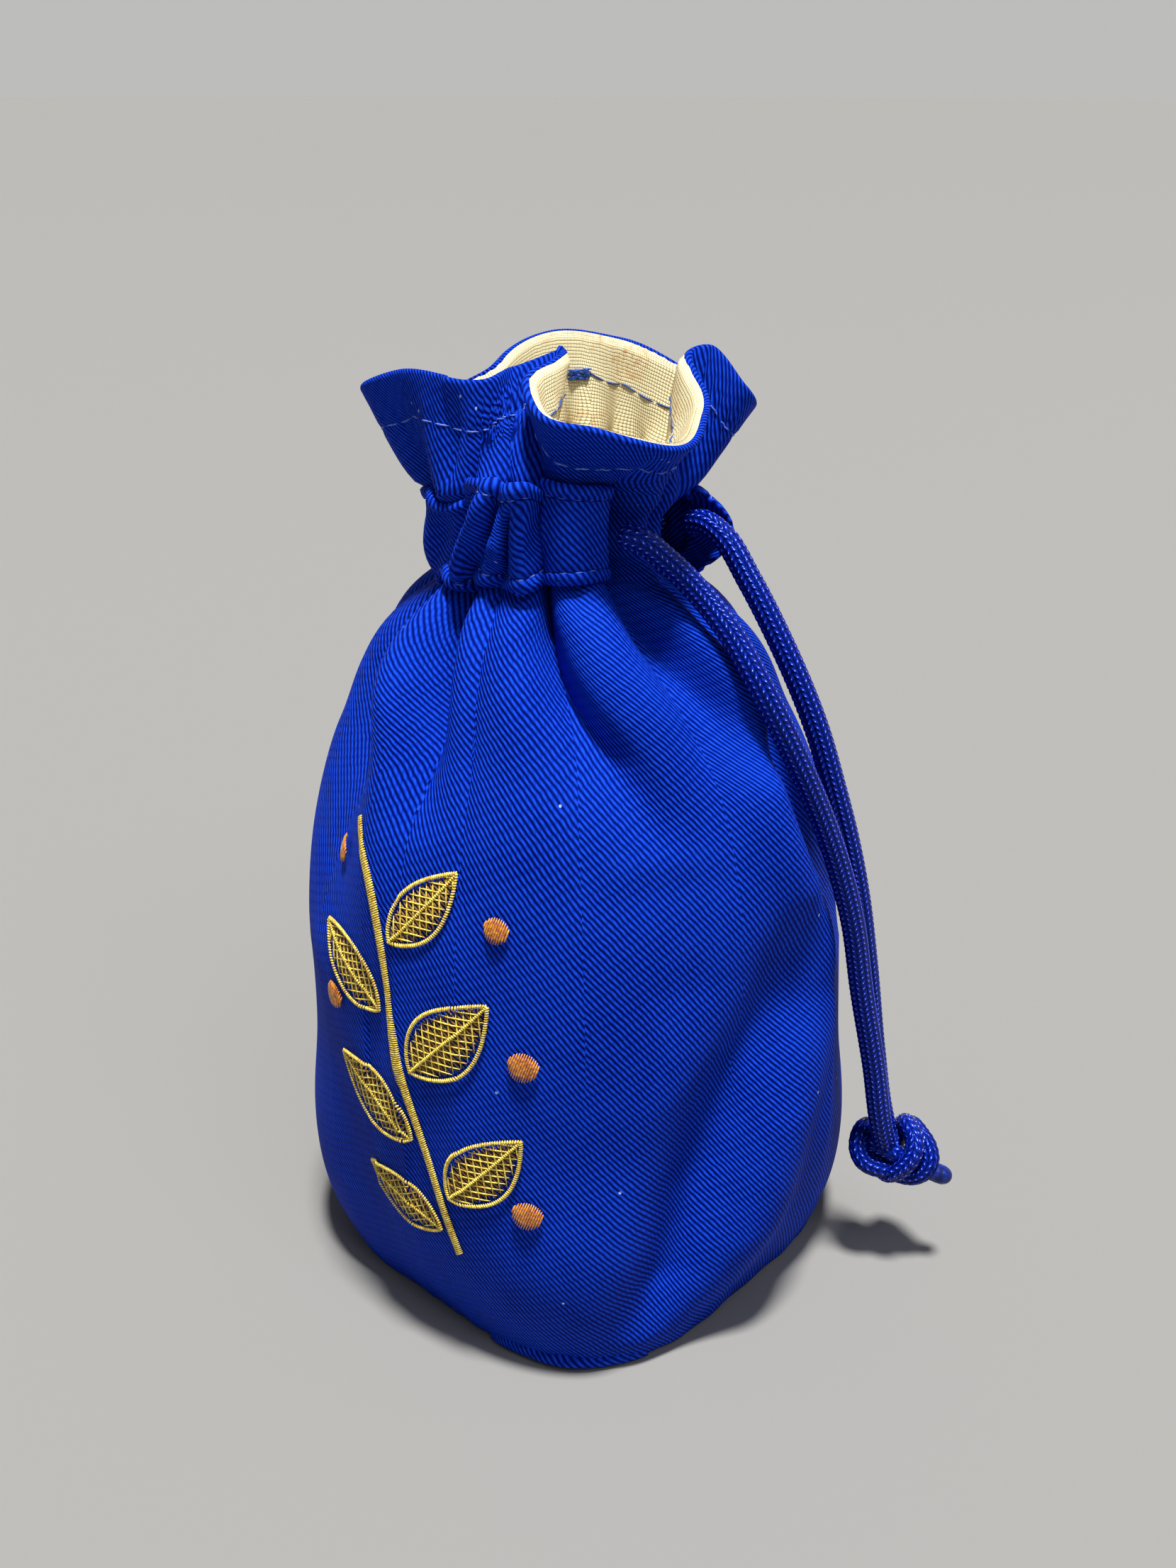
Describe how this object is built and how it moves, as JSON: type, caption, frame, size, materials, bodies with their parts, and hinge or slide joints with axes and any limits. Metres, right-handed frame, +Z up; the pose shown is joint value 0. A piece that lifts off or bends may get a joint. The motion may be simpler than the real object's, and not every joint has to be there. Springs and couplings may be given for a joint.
{
  "type": "dice bag",
  "caption": "Small lined cloth drawstring pouch with a flat base, a ruffled collar, an applied neck casing and one knotted cord.",
  "frame": {"origin": "centre of the flat base, on its underside, where the bag rests", "axes": "+Z up through the mouth, -Y towards the embroidered front, +X towards the side where the cord hangs"},
  "size_m": [0.1067, 0.0926, 0.1554],
  "materials": {
    "blue_twill": "cobalt blue cotton twill, matte, coarse diagonal wales",
    "cream_linen": "cream linen-look plain weave with tan slubs",
    "blue_cord": "blue braided nylon, slight sheen",
    "gold_thread": "gold rayon embroidery thread, satin sheen",
    "orange_thread": "orange gold rayon embroidery thread, satin sheen"
  },
  "bodies": {
    "root": {"outer_side_panel": "blue_twill", "outer_base": "blue_twill", "casing_strip": "blue_twill", "lining_side_panel": "cream_linen", "lining_base": "cream_linen", "drawcord": "blue_cord", "drawcord_knot": "blue_cord", "embroidery_stem": "gold_thread", "embroidery_leaf_1": "gold_thread", "embroidery_leaf_2": "gold_thread", "embroidery_leaf_3": "gold_thread", "embroidery_leaf_4": "gold_thread", "embroidery_leaf_5": "gold_thread", "embroidery_leaf_6": "gold_thread", "embroidery_berry_1": "orange_thread", "embroidery_berry_2": "orange_thread", "embroidery_berry_3": "orange_thread", "embroidery_berry_4": "orange_thread", "embroidery_berry_5": "orange_thread"}
  },
  "joints": []
}
